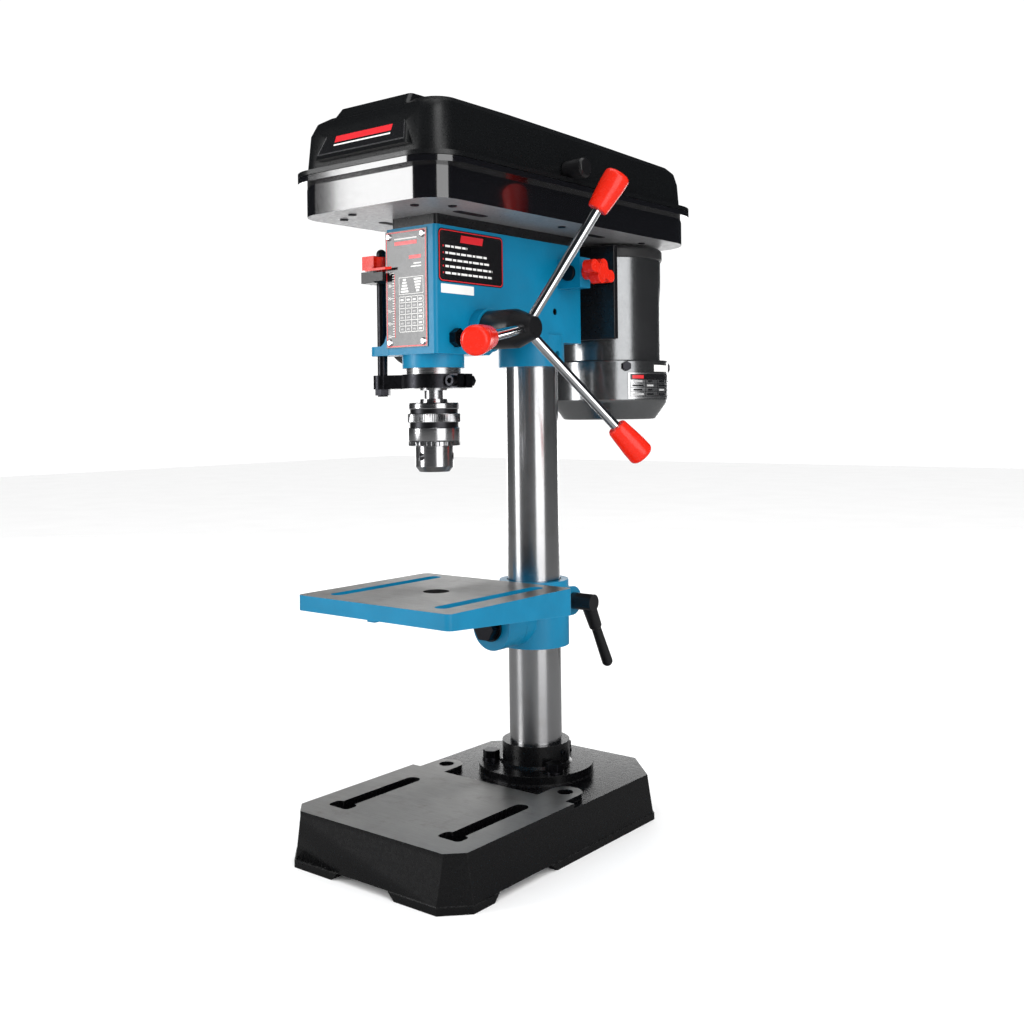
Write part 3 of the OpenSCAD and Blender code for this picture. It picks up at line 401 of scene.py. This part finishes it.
def digit(bm, axes, ch, x, y, h, mat):
    """A number of height h made of plain bars."""
    w, t = h * 0.55, h * 0.16
    seg = {"a": box2(x, y + h - t, x + w, y + h), "g": box2(x, y + (h - t) / 2, x + w, y + (h + t) / 2),
           "d": box2(x, y, x + w, y + t), "f": box2(x, y + h / 2, x + t, y + h),
           "e": box2(x, y, x + t, y + h / 2), "b": box2(x + w - t, y + h / 2, x + w, y + h),
           "c": box2(x + w - t, y, x + w, y + h / 2)}
    for s in DIGITS[ch]:
        prism(bm, seg[s], *axes, PRINT, mat)


def mm(node):
    """The low and high corners of a node's box, in mm."""
    lo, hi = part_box(node)
    return Vector(lo) / MM, Vector(hi) / MM


# ---------------------------------------------------------------- the CAD nodes

sp_lo, sp_hi = mm("spindle")
SP = ((sp_lo.x + sp_hi.x) / 2, (sp_lo.y + sp_hi.y) / 2)


def is_top(c, n, top):
    """Whether a face with centre c and normal n lies in the machined top at height top."""
    return n.z > 0.99 and c.z > top - 0.1


# the hollow in each side wall of the base that leaves a foot at either end
base_lo, base_hi = mm("base")
HOLLOW_Y, HOLLOW_HALF, HOLLOW_RISE = -88, 38, 6
WALL_CUT, PAST = 9.5, 1      # how far the cut goes in from the side, and past it
ya, yb = HOLLOW_Y - HOLLOW_HALF, HOLLOW_Y + HOLLOW_HALF
hollow = [(ya, -PAST), (yb, -PAST), (yb, 0), (yb - HOLLOW_RISE, HOLLOW_RISE),
          (ya + HOLLOW_RISE, HOLLOW_RISE), (ya, 0)]
bm = bmesh.new()
for x in (base_lo.x - PAST, base_hi.x - WALL_CUT):
    prism(bm, hollow, (x, 0, 0), (0, 1, 0), (0, 0, 1), WALL_CUT + PAST)
refine("base", [M["black_cast"], M["ground"]], 1.3, 3,
       lambda c, n: 1 if is_top(c, n, base_hi.z) else 0,
       cutter=obj("side_hollow_cutter", bm, [M["black_cast"]], 30))

TABLE_TOP = mm("table")[1].z
HOLE_REACH = 11      # faces nearer the spindle's axis than this belong to the table's hole


def table_face(c, n):
    """The machined top, and the bored hole, which lies in shadow."""
    if is_top(c, n, TABLE_TOP):
        return 1
    return 2 if math.hypot(c.x - SP[0], c.y - SP[1]) < HOLE_REACH and abs(n.z) < 0.5 else 0


refine("table", [M["blue"], M["ground"], M["slot_dark"]], 1.1, 3, table_face)
refine("column_flange", [M["black_cast"]], 1.0, 3)
refine("table_bracket", [M["blue"]], 1.6, 3)
HEAD_BLACK = mm("head_casting")[1].z - 8.4      # the head is black above this height
refine("head_casting", [M["blue"], M["black_paint"]], 1.1, 3, lambda c, n: 1 if c.z > HEAD_BLACK else 0)
# node, material and edge width in mm
ROUNDED = (
    ("flange_bolts", "oxide", 0.5), ("tilt_bolt", "oxide", 0.5), ("clamp_stud", "oxide", 0.5),
    ("flange_set_screw", "oxide", 0.2), ("head_set_screws", "oxide", 0.15), ("gib_screw", "oxide", 0.5),
    ("clamp_lever", "grip", 0.4), ("feed_hub", "grip", 0.9), ("feed_knobs", "red", 0.5),
    ("spring_cup", "black_paint", 0.8), ("quill_collar", "oxide", 0.6), ("collar_bolt", "oxide", 0.3),
    ("depth_stop", "grip", 0.5), ("depth_pointer", "red", 0.25), ("motor_mount", "black_paint", 0.8),
    ("motor_cap", "crackle", 1.2), ("motor_bell", "can", 1.6), ("motor_screws", "oxide", 0.4),
    ("star_knob", "red", 1.4), ("switch_box", "grip", 1.2), ("cable_gland", "grip", 0.4),
    ("start_button", "green", 0.5), ("stop_button", "red", 0.5), ("plate_screws", "plate_silver", 0.3),
    ("lid_knob", "grip", 0.6), ("slide_rods", "oxide", 0.8), ("housing_screws", "oxide", 0.3),
    ("motor_nameplate", "plate_silver", 0.0))
for n, m, w in ROUNDED:
    refine(n, [M[m]], w, 3)
HZ = mm("belt_housing")[0].z
# downward faces at the housing's foot get the lighter grey of the painted floor reflection
refine("belt_housing", [M["gloss"], M["underside_painted_reflection"]], 2.2, 4,
       lambda c, n: 1 if n.z < -0.9 and c.z < HZ + 1 else 0)
refine("belt_lid", [M["lid"]], 1.1, 3, angle=24)
refine("front_plate", [M["black_print"]], 0.15, 2)
refine("side_plate", [M["black_print"]], 0.1, 2)
CAD_MATS = {
    "column": "tube", "bracket_liner": "grip", "pinion_shaft": "steel", "feed_arms": "chrome",
    "return_spring": "steel", "quill": "steel", "depth_rod": "oxide", "spindle_bearings": "steel",
    "spindle": "steel", "jaw_1": "steel", "jaw_2": "steel", "jaw_3": "steel",
    "sleeve_bearings": "steel", "drive_sleeve": "steel", "spindle_pulley": "alu",
    "motor_pulley": "alu", "motor_shaft": "steel", "stator": "winding", "motor_can": "can",
    "hinge_pins": "steel"}
for n, m in CAD_MATS.items():
    o = nodes[n]
    o.data.materials.clear()
    o.data.materials.append(M[m])


# ---------------------------------------------------------------- chuck

ring_lo, ring_hi = mm("chuck_sleeve")
R, CZ = (ring_hi.x - ring_lo.x) / 2, ring_lo.z
BORE, CAVITY, MOUTH = 17.6, 18.7, 15.7      # radii inside the sleeve
KNURLS, TEETH = 90, 30


def knurl(a):
    return R - 0.35 + 0.35 * abs(math.sin(a * KNURLS / 2))


def teeth(a):
    return R - 2.6 if math.sin(a * TEETH) < 0.1 else R - 0.1


# radius, and height above the sleeve's box
profile = [
    (R - 2.9, 0.1), (teeth, 0.4), (teeth, 3.4), (R - 0.8, 3.8), (R - 0.1, 4.4), (R, 5.0),
    (R, 14.0), (R - 0.4, 14.6), (R - 1.3, 14.8), (R - 1.3, 18.7), (R - 0.5, 18.8), (knurl, 19.3),
    (knurl, 25.2), (R - 0.5, 25.8), (R - 1.6, 26.0), (R - 1.6, 29.2), (R - 0.9, 29.4), (R - 0.5, 30.0),
    (R - 0.6, 33.6), (R - 1.6, 34.3), (BORE, 34.4), (BORE, 22.8), (CAVITY, 22.8), (CAVITY, 3.8),
    (MOUTH, 3.8)]
GROOVES = (8, 14)      # bands of the profile that are dark
bm = bmesh.new()
lathe(bm, [(r, CZ + h) for r, h in profile], 360,
      [1 if k in GROOVES else 0 for k in range(len(profile))], SP, closed=False)
o = obj("chuck_sleeve_turned", bm, [M["chuck"], M["chuck_dark"]], 30)
keep(o, "chuck_ring", "chrome", "chuck_sleeve")
refine("chuck_body", [M["chuck"]], 0.4, 2, smooth=30)


# ---------------------------------------------------------------- belt in its grooves

s_lo, s_hi = mm("spindle_pulley")
p_lo, p_hi = mm("motor_pulley")
b_lo, b_hi = mm("v_belt")
spindle_y, motor_y = (s_lo.y + s_hi.y) / 2, (p_lo.y + p_hi.y) / 2
spindle_r, motor_r = b_hi.x, b_hi.y - motor_y
lean = math.asin((spindle_r - motor_r) / (motor_y - spindle_y))
belt_z = (b_lo.z + b_hi.z) / 2
ARC_STEPS = 48
# outward and upward from the belt's outer line
V_SECTION = [(0, -3.7), (0, 3.7), (-0.7, 3.9), (-4.6, 2.5), (-4.6, -2.5), (-0.7, -3.9)]
bm = bmesh.new()
rows = []
for y, r, start, sweep in ((spindle_y, spindle_r, math.pi - lean, math.pi + 2 * lean),
                           (motor_y, motor_r, lean, math.pi - 2 * lean)):
    for k in range(ARC_STEPS + 1):
        a = start + sweep * k / ARC_STEPS
        line = [(r + out, belt_z + h) for out, h in V_SECTION]
        rows.append([bm.verts.new(Vector((q * math.cos(a), y + q * math.sin(a), z)) * MM) for q, z in line])
for k in range(len(rows)):
    r0, r1 = rows[k], rows[(k + 1) % len(rows)]
    for i in range(len(V_SECTION)):
        j = (i + 1) % len(V_SECTION)
        bm.faces.new((r0[i], r1[i], r1[j], r0[j]))
bmesh.ops.recalc_face_normals(bm, faces=bm.faces)
keep(obj("v_belt_moulded", bm, [M["rubber"]]), "stand", "rubber", "v_belt")


# ---------------------------------------------------------------- front plate print

WHITE, RED, GREY, BLACK = range(4)
BORDER = 0.08      # mm, how far a printed border stands above its plate
f_lo, f_hi = mm("front_plate")
fw, fh = f_hi.x - f_lo.x, f_hi.z - f_lo.z
axes = (f_lo, (1, 0, 0), (0, 0, 1))
bm = bmesh.new()
frame_line(bm, rounded(0.8, 0.8, fw - 0.8, fh - 0.8, 2), rounded(1.6, 1.6, fw - 1.6, fh - 1.6, 1.4),
           *axes, BORDER, RED)

# depth scale: a mark every 2 mm over the quill's 50 mm stroke, numbered every 10 mm
SCALE_X, SCALE_Y, STROKE = 9.5, 9, 50
bar(bm, axes, SCALE_X, 8, SCALE_X + 0.6, fh - 34, RED)
for i in range(0, STROKE + 1, 2):
    length = 4.2 if i % 10 == 0 else 2.2
    bar(bm, axes, SCALE_X - length, SCALE_Y + i, SCALE_X, SCALE_Y + i + 0.45, WHITE)
for k, ch in enumerate("543210"):
    y = SCALE_Y + 10 * k - 1.1
    if ch != "0":
        digit(bm, axes, ch, 2.4, y, 2.6, WHITE)
    digit(bm, axes, "0", 4.2, y, 2.6, WHITE)

# speed chart, with its cells left blank
LINE, ROW, COLUMN = 0.45, 4.6, 6.5
x0, x1 = 14.5, fw - 4
row_y = [12 + ROW * k for k in range(7)]
for y in row_y:
    bar(bm, axes, x0, y, x1, y + LINE, WHITE)
for x in (x0, x0 + COLUMN, x0 + 2 * COLUMN, x0 + 3 * COLUMN, x1 - LINE):
    bar(bm, axes, x, row_y[0], x + LINE, row_y[-1] + LINE, WHITE)
for k, y in enumerate(row_y[:-1]):
    for column, x in enumerate((x0 + 1.6, x0 + 8.2, x0 + 14.6, x0 + 21)):
        bar(bm, axes, x, y + 1.6, x + 3.2, y + 3.0, WHITE if k == 5 or column == 3 else GREY)

# the two pulleys above the chart, as five steps each
y0, y1 = row_y[-1] + 2, row_y[-1] + 15.5
frame_line(bm, box2(x0, y0, x1, y1), box2(x0 + 0.4, y0 + 0.4, x1 - 0.4, y1 - 0.4), *axes, PRINT, WHITE)
STEPS = 5
for k in range(STEPS):
    y = y0 + 1.5 + k * 2.3
    for side, step in ((-1, STEPS - 1 - k), (1, k)):
        x, half = (x0 + x1) / 2 + side * 7, (3.4 + 1.2 * step) / 2
        bar(bm, axes, x - half, y, x + half, y + 1.5, WHITE)

# plain bars in place of the plate's text: height, width, thickness, material
for y, width, thick, mat in ((62.5, 11, 1.0, WHITE), (64.8, 8, 1.0, WHITE), (69, 13, 2.8, RED),
                             (74, 17, 2.8, BLACK)):
    bar(bm, axes, x1 - 2 - width, y, x1 - 2, y + thick, mat)
bar(bm, axes, 10, 80.5, 34, 83.5, RED)
bar(bm, axes, 10, 85, 34, 86, WHITE)
print_mats = [M["white"], M["red_print"], M["grey_print"], M["black_print"]]
keep(obj("front_plate_print", bm, print_mats), "stand", "plate")


# ---------------------------------------------------------------- side plate print and sticker

p_lo, p_hi = mm("side_plate")
pw, ph = p_hi.y - p_lo.y, p_hi.z - p_lo.z
U, V = (0, 1, 0), (0, 0, 1)
axes = ((p_hi.x, p_lo.y, p_lo.z), U, V)
bm = bmesh.new()
frame_line(bm, rounded(0.7, 0.7, pw - 0.7, ph - 0.7, 3.6), rounded(1.5, 1.5, pw - 1.5, ph - 1.5, 3),
           *axes, BORDER, RED)
x, y0, y1 = pw / 2, ph - 9.5, ph - 3.6
prism(bm, [(x - 14, y0), (x + 13, y0), (x + 14.5, y1), (x - 12.5, y1)], *axes, PRINT, RED)

# rows of plain dashes, each with a red mark in front
ROW_ENDS, DASHES, GAP = (34, 58, 62, 65, 64), (5.5, 3.2, 7.4, 4.1, 6.0), 1.3
for k, end in enumerate(ROW_ENDS):
    y = ph - 14.2 - 5.2 * k
    bar(bm, axes, 5, y, 6.2, y + 1.3, RED)
    x = 8
    step = k
    while x < end:
        length = DASHES[step % len(DASHES)]
        bar(bm, axes, x, y - 0.2, min(x + length, end), y + 1.5, WHITE)
        x += length + GAP
        step += 1
keep(obj("side_plate_print", bm, [M["white"], M["red_print"]]), "stand", "plate")
bm = bmesh.new()
prism(bm, rounded(3, -8.5, 42, -1.4, 0.6), p_lo, U, V, 0.12)
keep(obj("side_sticker", bm, [M["white"]]), "stand", "plate")


# ---------------------------------------------------------------- belt housing underside

SCREWS = ((-52, -128), (-30, -140), (36, -140), (54, -118), (-54, 20), (54, 20), (-50, 150), (50, 150))
SLOTS = ((-40, -100, -62), (40, -100, -62), (-44, 60, 96), (44, 60, 96))      # x, and both ends in y
SLOT_HALF = 4
head = [(2.2, HZ - 1.1), (3.0, HZ - 0.9), (3.4, HZ - 0.3), (3.5, HZ + 0.2)]
bm = bmesh.new()
for at in SCREWS:
    lathe(bm, head, 32, [0] * len(head), at)
for x, y0, y1 in SLOTS:
    outline = rounded(x - SLOT_HALF, y0, x + SLOT_HALF, y1, 3.9)
    prism(bm, outline[::-1], (0, 0, HZ), (1, 0, 0), (0, 1, 0), -0.15, 1)
bmesh.ops.recalc_face_normals(bm, faces=bm.faces)
keep(obj("housing_floor_details", bm, [M["oxide"], M["slot_dark"]]), "stand", "black_steel")


# ---------------------------------------------------------------- lid badge

PANEL_FOOT, PANEL_SLOPE = 549, 13.2 / 34      # the raised panel's lowest height, and y per mm of height
panel_y = mm("belt_lid")[0].y + 4.8


def on_panel(h):
    """y of the raised panel's face at height h, in mm"""
    return panel_y + (h - PANEL_FOOT) * PANEL_SLOPE


z0, z1 = 552.5, 579.5
y0, y1 = on_panel(z0) - 0.02, on_panel(z1) - 0.02
badge_up = Vector((0, y1 - y0, z1 - z0)).normalized()
badge_h = math.hypot(y1 - y0, z1 - z0)
axes = (Vector((0, y0, z0)), (1, 0, 0), badge_up)


def trap(d):
    """The badge's outline, narrower at the top, drawn in by d."""
    low, high = 46.3 - d * 1.3, 38 - d * 0.9
    return [(-low, d), (low, d), (high, badge_h - d), (-high, badge_h - d)]


STRIPE = 0.4      # mm, how far the plain stripes stand up
bm = bmesh.new()
prism(bm, trap(0.6), *axes, 0.25, 2)
frame_line(bm, trap(0), trap(0.7), *axes, 0.45, 0)
for y, thick, mat in ((9, 5.5, 1), (6, 1.2, 3), (16.5, 1.2, 3)):
    prism(bm, box2(-30, y, 30, y + thick), *axes, STRIPE, mat)
badge_mats = [M["plate_silver"], M["red_print"], M["black_print"], M["white"]]
keep(obj("lid_badge", bm, badge_mats), "lid", "label")


# ---------------------------------------------------------------- motor plate print

c_lo, c_hi = mm("motor_can")
MX, MY = (c_lo.x + c_hi.x) / 2, (c_lo.y + c_hi.y) / 2
n_lo, n_hi = mm("motor_nameplate")
NR = n_hi.x - MX
EDGE = 36      # degrees either side of the plate's middle


def wrap(bm, a0, a1, z0, z1, r, mat, steps):
    """Thin patch on a vertical cylinder about the motor axis, angles in degrees."""
    rows = []
    for k in range(steps + 1):
        a = math.radians(a0 + (a1 - a0) * k / steps)
        d = Vector((math.cos(a), math.sin(a), 0))
        rows.append([bm.verts.new((Vector((MX, MY, z)) + d * q) * MM)
                     for q, z in ((r - 0.05, z0), (r + 0.08, z0), (r + 0.08, z1), (r - 0.05, z1))])
    for k in range(steps):
        for i in range(4):
            j = (i + 1) % 4
            bm.faces.new((rows[k][i], rows[k + 1][i], rows[k + 1][j], rows[k][j])).material_index = mat
    bm.faces.new(rows[0][::-1]).material_index = mat
    bm.faces.new(rows[-1]).material_index = mat


# a header band, then a blank table: columns as start and end angles
COLUMNS = ((-34, -22), (-18, -10), (-2, 10), (16, 25), (28, 34))
bm = bmesh.new()
za, zb = n_lo.z, n_hi.z
wrap(bm, -EDGE, EDGE, zb - 6.5, zb - 1.2, NR, 2, 20)
wrap(bm, -34, -22, zb - 5.4, zb - 2.2, NR + 0.06, 1, 4)
for k in range(4):
    z = za + 2.2 + k * 4.0
    wrap(bm, -EDGE, EDGE, z, z + 0.4, NR, 2, 20)
    for j, (a, b) in enumerate(COLUMNS):
        wrap(bm, a + k % 2, b - (k * 1.5) % 3, z + 1.2, z + 2.8, NR, 2 if (j + k) % 3 else 0, 4)
for a in (-36, -20, -4, 13, 35.6):
    wrap(bm, a, a + 0.5, za + 1.8, zb - 7, NR, 2, 1)
motor_mats = [M["grey_print"], M["red_print"], M["black_print"]]
keep(obj("motor_plate_print", bm, motor_mats), "motor", "label")
bm = bmesh.new()
wrap(bm, -8, 34, n_hi.z + 1.2, n_hi.z + 7.4, NR - 0.65, 0, 14)
keep(obj("motor_sticker", bm, [M["white"]]), "motor", "label")


# ---------------------------------------------------------------- camera, floor and lights

def light(name, loc, target, size_x, size_y, power):
    """A soft box in metres and watts, out of the camera's sight."""
    d = bpy.data.lights.new(name, "AREA")
    d.shape, d.size, d.size_y, d.energy = "RECTANGLE", size_x, size_y, power
    o = bpy.data.objects.new(name, d)
    o.location = loc
    o.rotation_euler = (Vector(target) - Vector(loc)).to_track_quat("-Z", "Y").to_euler()
    o.visible_camera = False
    bpy.context.collection.objects.link(o)


AZ, ROLL = math.radians(38.6), math.radians(-0.7)
CAMERA_AT = (0.6352, -0.7779, 0.3551)
SENSOR, LENS, RISE = 36, 41.393, -0.0997      # mm, mm, and the part of the frame's width it is shifted
cam_d = bpy.data.cameras.new("camera")
cam = bpy.data.objects.new("camera", cam_d)
bpy.context.collection.objects.link(cam)
bpy.context.scene.camera = cam
cam_d.sensor_width, cam_d.lens, cam_d.shift_y = SENSOR, LENS, RISE
look = Vector((-math.sin(AZ), math.cos(AZ), 0))
right = Vector((math.cos(AZ), math.sin(AZ), 0))
world_up = Vector((0, 0, 1))
x_axis = right * math.cos(ROLL) + world_up * math.sin(ROLL)
y_axis = -right * math.sin(ROLL) + world_up * math.cos(ROLL)
turn = Matrix((x_axis, y_axis, -look)).transposed().to_4x4()
cam.matrix_world = Matrix.Translation(CAMERA_AT) @ turn
cam_d.clip_start, cam_d.clip_end = 0.01, 50

FLOOR_HALF = 6      # m
bm = bmesh.new()
for x, y in box2(-FLOOR_HALF, -FLOOR_HALF, FLOOR_HALF, FLOOR_HALF):
    bm.verts.new((x, y, 0))
bm.faces.new(bm.verts[:])
m, nt, sh = new_mat("floor_pale")
c = ramp(nt, noise(nt, coords(nt), 6, 3), [(0.3, (0.93, 0.93, 0.93)), (0.7, (0.96, 0.96, 0.96))])
lp = nt.nodes.new("ShaderNodeLightPath")
c = mix(nt, lp.outputs["Is Glossy Ray"], c, (0.2, 0.2, 0.2))
nt.links.new(c, sh.inputs["Base Color"])
sh.inputs["Roughness"].default_value = 0.7
sh.inputs["Specular IOR Level"].default_value = 0.1
obj("floor", bm, [m])

# the long box lights give the flat housing and the column their bright bands
mid = Vector((0, 0.02, 0.3))
light("key", (1.5, -0.9, 1.9), mid, 1.0, 1.0, 8)
light("front_box", (-1.05, -1.5, 0.63), Vector((0, -0.1, 0.48)), 0.58, 0.85, 13)
light("right_box", (1.4, -0.48, 0.42), mid, 1.0, 1.4, 11)
light("back_box", (-1.4, 1.9, 0.34), mid, 3.0, 0.7, 20)
light("top", (0, 0, 2.2), mid, 1.6, 1.6, 12)

# white to the camera, and nearly black in reflections, so dark paint stays dark
world = bpy.data.worlds.new("studio")
bpy.context.scene.world = world
world.use_nodes = True
nt = world.node_tree
bg = nt.nodes["Background"]
lp = nt.nodes.new("ShaderNodeLightPath")
surround = mix(nt, lp.outputs["Is Glossy Ray"], (1.06, 1.06, 1.06), (0.022, 0.024, 0.027))
nt.links.new(surround, bg.inputs["Color"])
bpy.context.scene.view_settings.view_transform = "Standard"
